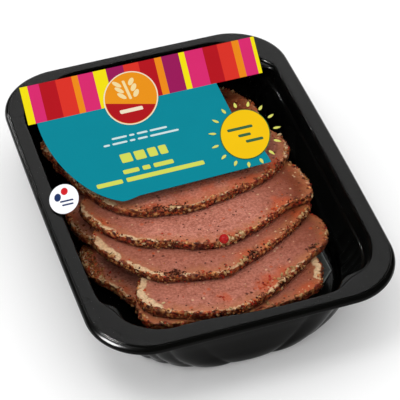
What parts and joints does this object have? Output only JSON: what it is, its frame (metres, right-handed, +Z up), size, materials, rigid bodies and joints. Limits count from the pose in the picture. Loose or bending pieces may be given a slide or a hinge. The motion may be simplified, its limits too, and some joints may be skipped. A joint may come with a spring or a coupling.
{
  "type": "tray pack of sliced pork loin",
  "caption": "Black moulded tray of fanned, spice-crusted pork loin slices under a clear lid film with a striped and teal label.",
  "frame": {"origin": "middle of the tray's flat base, on the surface that it stands on", "axes": "+X to the right along the short front side, +Y to the back along the long side, +Z up through the lid film"},
  "size_m": [0.144, 0.19, 0.0395],
  "materials": {
    "tray_plastic": "satin black moulded sheet",
    "pad": "dark absorbent pad with a crimped edge",
    "meat": "moist raw pork with a spiced, browned rim",
    "clear_film": "thin clear glossy film",
    "label_print": "printed film, striped band and teal panel",
    "badge_print": "printed yellow oval",
    "emblem_print": "printed orange oval",
    "sticker_paper": "white coated paper sticker"
  },
  "bodies": {
    "root": {"tray": "tray_plastic", "absorbent_pad": "pad", "upper_slice_1": "meat", "upper_slice_2": "meat", "upper_slice_3": "meat", "upper_slice_4": "meat", "upper_slice_5": "meat", "lower_slice_1": "meat", "lower_slice_2": "meat", "lower_slice_3": "meat", "lid_film": "clear_film", "printed_label": "label_print", "oval_badge": "badge_print", "oval_emblem": "emblem_print", "small_sticker": "sticker_paper"}
  },
  "joints": []
}
